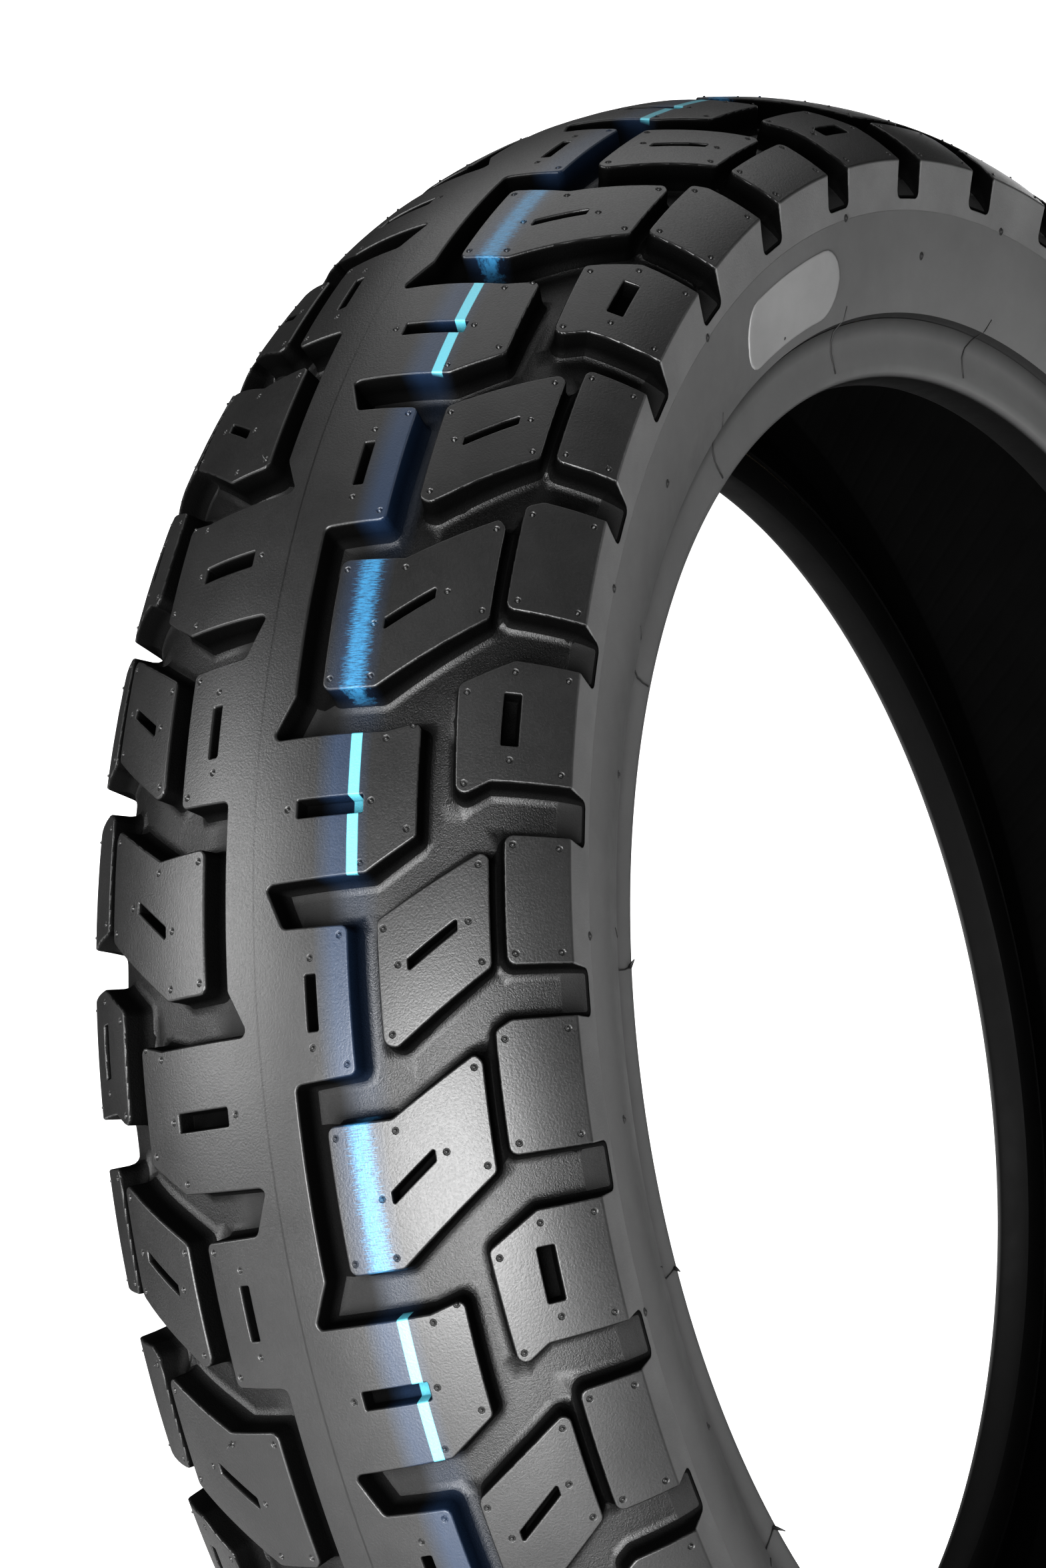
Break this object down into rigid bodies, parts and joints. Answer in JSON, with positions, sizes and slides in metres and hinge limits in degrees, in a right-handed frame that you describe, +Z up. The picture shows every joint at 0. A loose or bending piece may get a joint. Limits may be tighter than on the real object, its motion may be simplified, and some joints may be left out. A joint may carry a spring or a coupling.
{
  "type": "motorcycle tire",
  "caption": "Bias-belted tubeless rear motorcycle tire with a block tread for road and dirt, mounted on a 17 inch wheel rim.",
  "frame": {"origin": "Centre of the tire, on its spin axis and midway between the sidewalls, where the wheel rim's centre sits.", "axes": "+Y along the spin axis towards the far sidewall, +Z up, +X to the rear of the view; the marked near sidewall faces -Y."},
  "size_m": [0.642, 0.1656, 0.642],
  "materials": {
    "tread_rubber": "matte with a faint grain",
    "side_rubber": "satin moulded",
    "inner_rubber": "matte",
    "ply_fabric": "rubber-coated cord",
    "belt_fabric": "rubber-coated cord",
    "bead_steel": "brass-plated wire"
  },
  "bodies": {
    "root": {"tread_cap": "tread_rubber", "tread_base": "inner_rubber", "belt_outer": "belt_fabric", "belt_inner": "belt_fabric", "carcass_ply_outer": "ply_fabric", "carcass_ply_inner": "ply_fabric", "inner_liner": "inner_rubber", "belt_edge_strip_near": "inner_rubber", "belt_edge_strip_far": "inner_rubber", "sidewall_near": "side_rubber", "sidewall_far": "side_rubber", "rim_strip_near": "side_rubber", "rim_strip_far": "side_rubber", "bead_core_near": "bead_steel", "bead_core_far": "bead_steel", "bead_filler_near": "inner_rubber", "bead_filler_far": "inner_rubber"}
  },
  "joints": []
}
